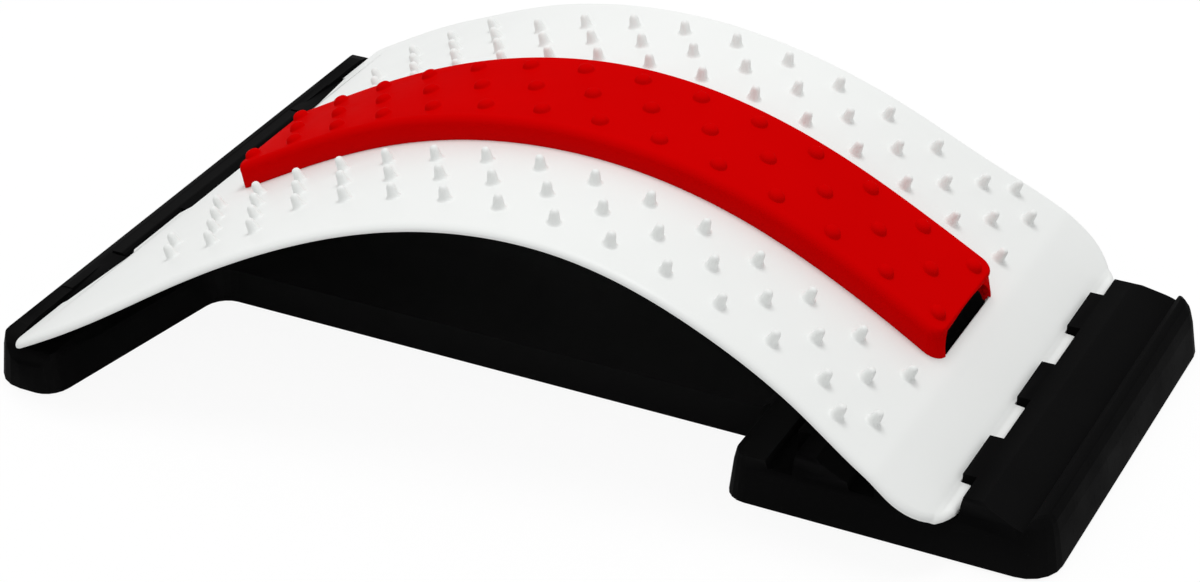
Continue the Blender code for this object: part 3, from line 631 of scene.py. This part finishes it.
def new_material(name):
    """Make a material and return it with its node tree and shader."""
    material = bpy.data.materials.new(name)
    material.use_nodes = True
    tree = material.node_tree
    return material, tree, tree.nodes["Principled BSDF"]


def add_noise(tree, coordinates, scale, detail):
    """Add a noise texture and return its value."""
    noise = tree.nodes.new("ShaderNodeTexNoise")
    noise.inputs["Scale"].default_value = scale
    noise.inputs["Detail"].default_value = detail
    tree.links.new(coordinates, noise.inputs["Vector"])
    return noise.outputs["Fac"]


def add_range(tree, value, start, end, low, high):
    """Map a value's range onto another one and return the result."""
    spread = tree.nodes.new("ShaderNodeMapRange")
    for name, number in (("From Min", start), ("From Max", end), ("To Min", low), ("To Max", high)):
        spread.inputs[name].default_value = number
    tree.links.new(value, spread.inputs["Value"])
    return spread.outputs["Result"]


def add_sum(tree, first, second):
    """Add two values and return the sum."""
    total = tree.nodes.new("ShaderNodeMath")
    tree.links.new(first, total.inputs[0])
    tree.links.new(second, total.inputs[1])
    return total.outputs["Value"]


def add_mix(tree, share, first, second):
    """Mix a linked colour with a fixed one and return the result."""
    mix = tree.nodes.new("ShaderNodeMix")
    mix.data_type = "RGBA"
    mix.inputs["B"].default_value = (*second, 1.0)
    tree.links.new(share, mix.inputs["Factor"])
    tree.links.new(first, mix.inputs["A"])
    return mix.outputs["Result"]


def add_colors(tree, place, color, cloud, worn_color, worn_share):
    """Return the colour: faint clouds in it, and a share of the worn colour along the edges."""
    ramp = tree.nodes.new("ShaderNodeValToRGB")
    for element, position, way in zip(ramp.color_ramp.elements, NOISE_RANGE, (-1, 1)):
        element.position = position
        element.color = [min(value * (1 + way * cloud), 1.0) for value in color] + [1.0]
    tree.links.new(add_noise(tree, place, CLOUD_SCALE, CLOUD_DETAIL), ramp.inputs["Fac"])
    pointiness = tree.nodes.new("ShaderNodeNewGeometry").outputs["Pointiness"]
    worn = add_range(tree, pointiness, *WORN_POINTINESS, 0.0, worn_share)
    return add_mix(tree, worn, ramp.outputs["Color"], worn_color)


def add_gloss(tree, place, roughness):
    """Return the roughness: uneven all over, and higher in hairline scuffs."""
    noise = add_noise(tree, place, GLOSS_SCALE, GLOSS_DETAIL)
    gloss = add_range(tree, noise, *NOISE_RANGE, roughness - GLOSS_SPREAD, roughness + GLOSS_SPREAD)
    stretch = tree.nodes.new("ShaderNodeMapping")
    stretch.inputs["Scale"].default_value = SCUFF_STRETCH
    tree.links.new(place, stretch.inputs["Vector"])
    lines = add_noise(tree, stretch.outputs["Vector"], 1.0, SCUFF_DETAIL)
    return add_sum(tree, gloss, add_range(tree, lines, *SCUFF_RANGE, 0.0, SCUFF_ROUGHNESS))


def add_grain(tree, place, grain, grain_scale):
    """Return the normal of a fine grain, whose height is in metres."""
    bump = tree.nodes.new("ShaderNodeBump")
    bump.inputs["Strength"].default_value = 1.0
    bump.inputs["Distance"].default_value = grain
    tree.links.new(add_noise(tree, place, grain_scale, GRAIN_DETAIL), bump.inputs["Height"])
    return bump.outputs["Normal"]


def moulded_plastic(name, color, roughness, specular, cloud, grain, grain_scale, worn_color, worn_share):
    """Make moulded plastic with clouds in its colour, worn edges, scuffs, a fine grain and uneven gloss."""
    material, tree, shader = new_material(name)
    place = tree.nodes.new("ShaderNodeTexCoord").outputs["Object"]
    surface = add_colors(tree, place, color, cloud, worn_color, worn_share)
    tree.links.new(surface, shader.inputs["Base Color"])
    tree.links.new(add_gloss(tree, place, roughness), shader.inputs["Roughness"])
    tree.links.new(add_grain(tree, place, grain, grain_scale), shader.inputs["Normal"])
    shader.inputs["Specular IOR Level"].default_value = specular
    return material


def dress(item, material):
    """Give an object one material."""
    item.data.materials.clear()
    item.data.materials.append(material)


def seen_directly(tree):
    """Return 1 for camera, reflection and transmission rays, which see the white background."""
    path = tree.nodes.new("ShaderNodeLightPath")
    total = add_sum(tree, path.outputs["Is Camera Ray"], path.outputs["Is Glossy Ray"])
    total = add_sum(tree, total, path.outputs["Is Transmission Ray"])
    total.node.use_clamp = True
    return total


def add_floor():
    """Add the pale floor, which shows white to the camera and keeps a soft shadow."""
    builder = bmesh.new()
    bmesh.ops.create_grid(builder, x_segments=1, y_segments=1, size=FLOOR_SIZE / 2 / MM)
    floor = make_object("floor", builder)
    material, tree, shader = new_material("pale_floor")
    shader.inputs["Base Color"].default_value = FLOOR_COLOR
    shader.inputs["Roughness"].default_value = FLOOR_ROUGHNESS
    nodes, links = tree.nodes, tree.links
    white = nodes.new("ShaderNodeEmission")
    white.inputs["Strength"].default_value = FLOOR_WHITE
    seen = nodes.new("ShaderNodeMath")
    seen.operation = "MULTIPLY"
    seen.inputs[1].default_value = 1.0 - FLOOR_SHADE
    links.new(seen_directly(tree), seen.inputs[0])
    mix = nodes.new("ShaderNodeMixShader")
    links.new(seen.outputs["Value"], mix.inputs["Fac"])
    links.new(shader.outputs["BSDF"], mix.inputs[1])
    links.new(white.outputs["Emission"], mix.inputs[2])
    links.new(mix.outputs["Shader"], nodes["Material Output"].inputs["Surface"])
    dress(floor, material)


def add_light():
    """Light the object with a pale sky and one large soft lamp."""
    world = bpy.data.worlds.new("studio")
    world.use_nodes = True
    bpy.context.scene.world = world
    nodes, links = world.node_tree.nodes, world.node_tree.links
    sky = nodes["Background"]
    sky.inputs["Color"].default_value = WHITE
    sky.inputs["Strength"].default_value = SKY_STRENGTH
    seen = nodes.new("ShaderNodeBackground")
    seen.inputs["Strength"].default_value = 1.0
    seen.inputs["Color"].default_value = WHITE
    mix = nodes.new("ShaderNodeMixShader")
    links.new(seen_directly(world.node_tree), mix.inputs["Fac"])
    links.new(sky.outputs["Background"], mix.inputs[1])
    links.new(seen.outputs["Background"], mix.inputs[2])
    links.new(mix.outputs["Shader"], nodes["World Output"].inputs["Surface"])

    key = bpy.data.objects.new("key", bpy.data.lights.new("key", "AREA"))
    key.data.shape = "DISK"
    key.data.size = KEY_SIZE
    key.data.energy = KEY_POWER
    key.location = KEY_PLACE
    key.rotation_euler = (-Vector(KEY_PLACE)).to_track_quat("-Z", "Y").to_euler()
    bpy.context.scene.collection.objects.link(key)


def add_camera():
    """Place the camera at the photograph's viewing angle."""
    camera = bpy.data.objects.new("camera", bpy.data.cameras.new("camera"))
    bpy.context.scene.collection.objects.link(camera)
    place, target = Vector(CAMERA_PLACE), Vector(CAMERA_TARGET)
    aim = (target - place).to_track_quat("-Z", "Y").to_matrix().to_4x4()
    roll = Matrix.Rotation(math.radians(CAMERA_ROLL), 4, "Z")
    camera.matrix_world = Matrix.Translation(place) @ aim @ roll
    camera.data.lens = CAMERA_LENS
    camera.data.sensor_width = CAMERA_SENSOR
    camera.data.clip_start = CAMERA_CLIP_START
    bpy.context.scene.camera = camera


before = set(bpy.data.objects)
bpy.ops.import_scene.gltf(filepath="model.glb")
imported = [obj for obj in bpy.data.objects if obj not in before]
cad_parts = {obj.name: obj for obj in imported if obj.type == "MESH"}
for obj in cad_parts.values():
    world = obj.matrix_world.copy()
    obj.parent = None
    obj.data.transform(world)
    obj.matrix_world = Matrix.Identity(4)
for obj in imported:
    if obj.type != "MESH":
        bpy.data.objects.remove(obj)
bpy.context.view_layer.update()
bpy.context.scene.view_settings.view_transform = "Standard"

black = moulded_plastic("black_plastic", color=(0.0028, 0.0028, 0.0029), roughness=0.55, specular=0.006,
                        cloud=0.15, grain=0.00003, grain_scale=1100.0,
                        worn_color=(0.03, 0.03, 0.03), worn_share=0.25)
white = moulded_plastic("white_plastic", color=(0.862, 0.877, 0.864), roughness=0.42, specular=0.3,
                        cloud=0.008, grain=0.000012, grain_scale=1400.0,
                        worn_color=(0.82, 0.82, 0.81), worn_share=0.5)
red = moulded_plastic("red_plastic", color=(0.6, 0.0004, 0.0006), roughness=0.5, specular=0.001,
                      cloud=0.03, grain=0.000015, grain_scale=1400.0,
                      worn_color=(0.5, 0.01, 0.01), worn_share=0.3)
rubber = moulded_plastic("black_rubber", color=(0.03, 0.03, 0.032), roughness=0.8, specular=0.2,
                         cloud=0.15, grain=0.00005, grain_scale=900.0,
                         worn_color=(0.06, 0.06, 0.06), worn_share=0.3)

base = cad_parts["base"]
dress(base, black)
add_bevel(base, *BASE_BEVEL)
add_weights(base, BASE_WEIGHT)
for k in range(PAD_COUNT):
    dress(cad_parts[f"pad_{k + 1}"], rubber)

board = make_board()
pins = make_knobs("pins", pin_places(), PIN_PROFILE)
strip = make_strip()
domes = make_knobs("domes", dome_places(), DOME_PROFILE)
for item, material, slot in ((board, white, "board_plastic"), (pins, white, "board_plastic"),
                             (strip, red, "strip_plastic"), (domes, red, "strip_plastic")):
    dress(item, material)
    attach(item, "board_body")
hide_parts("arch_board")
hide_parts("spine_strip")

add_floor()
add_light()
add_camera()
